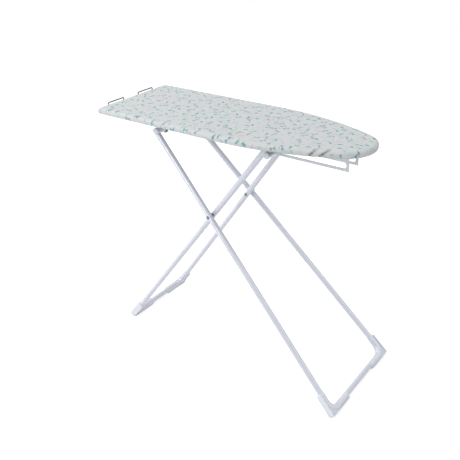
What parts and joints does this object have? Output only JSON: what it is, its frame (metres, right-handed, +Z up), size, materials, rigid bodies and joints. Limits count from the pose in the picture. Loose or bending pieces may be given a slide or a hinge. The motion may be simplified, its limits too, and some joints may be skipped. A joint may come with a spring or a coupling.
{
  "type": "ironing board",
  "caption": "Folding ironing board: padded cover on a punched steel board with a rounded nose, crossed tube legs with corner feet, height rack and wire iron rests.",
  "frame": {"origin": "middle of the whole part in plan, on the floor under its feet", "axes": "+X towards the nose of the board, +Z up; the near side legs are at -Y"},
  "size_m": [0.9896, 0.3922, 0.888],
  "materials": {
    "board_steel": "satin grey paint",
    "foam": "soft open-cell foam",
    "cover_cloth": "woven cotton with a small scattered leaf print",
    "hem_cord": "elastic cord in the hem",
    "plated_steel": "zinc plated sheet",
    "rivets": "dull plated steel",
    "spring_steel": "drawn steel",
    "dark_nylon": "dark grey nylon",
    "rest_wire": "dull zinc plated wire",
    "leg_paint": "glossy cool white powder coat",
    "plug_plastic": "white polyethylene",
    "foot_plastic": "off-white satin plastic"
  },
  "bodies": {
    "board": {"board_panel": "board_steel", "brace_tail": "board_steel", "brace_hinge": "board_steel", "brace_rack": "board_steel", "brace_nose": "board_steel", "foam_pad": "foam", "cover": "cover_cloth", "hem_cord": "hem_cord", "hinge_bracket_near": "plated_steel", "hinge_bracket_far": "plated_steel", "hinge_bush_near": "dark_nylon", "hinge_bush_far": "dark_nylon", "bracket_rivets": "rivets", "height_rack": "plated_steel", "rack_rivets": "rivets", "lever_bracket": "plated_steel", "lever_bracket_rivets": "rivets", "lever_spring": "spring_steel", "iron_rest_near": "rest_wire", "iron_rest_far": "rest_wire", "rest_clamp_near": "dark_nylon", "rest_clamp_far": "dark_nylon", "clamp_screws": "rivets"},
    "outer_frame": {"outer_frame": "leg_paint", "outer_foot_near": "foot_plastic", "outer_foot_far": "foot_plastic", "outer_leg_plugs": "plug_plastic", "hinge_tube_plugs": "plug_plastic", "pivot_rivet_near": "rivets", "pivot_rivet_far": "rivets", "pivot_spacers": "dark_nylon"},
    "inner_frame": {"inner_frame": "leg_paint", "inner_foot_near": "foot_plastic", "inner_foot_far": "foot_plastic", "inner_leg_plugs": "plug_plastic", "crossbar_plugs": "plug_plastic"},
    "release_lever": {"lever_shaft": "spring_steel", "shaft_clips": "spring_steel", "presser_plate": "plated_steel", "lever_arm": "plated_steel", "lever_grip": "foot_plastic"}
  },
  "joints": [
    {"name": "frame_hinge", "type": "hinge", "parent": "board", "child": "outer_frame", "pos_m": [-0.26674, 0, 0.8158], "axis": [0, -1, 0], "range_deg": [0, 42]},
    {"name": "leg_pivot", "type": "hinge", "parent": "outer_frame", "child": "inner_frame", "pos_m": [-0.04613, 0, 0.55841], "axis": [0, 1, 0], "range_deg": [0, 84.5]},
    {"name": "lever_pull", "type": "hinge", "parent": "board", "child": "release_lever", "pos_m": [0.12848, 0, 0.8508], "axis": [0, 1, 0], "range_deg": [0, 6], "stiffness_Nm_per_rad": 1.5, "springref_deg": -9.74, "deforming": ["lever_spring"]}
  ],
  "couplings": [
    {"joint": "leg_pivot", "follows": "frame_hinge", "ratio": 2}
  ]
}
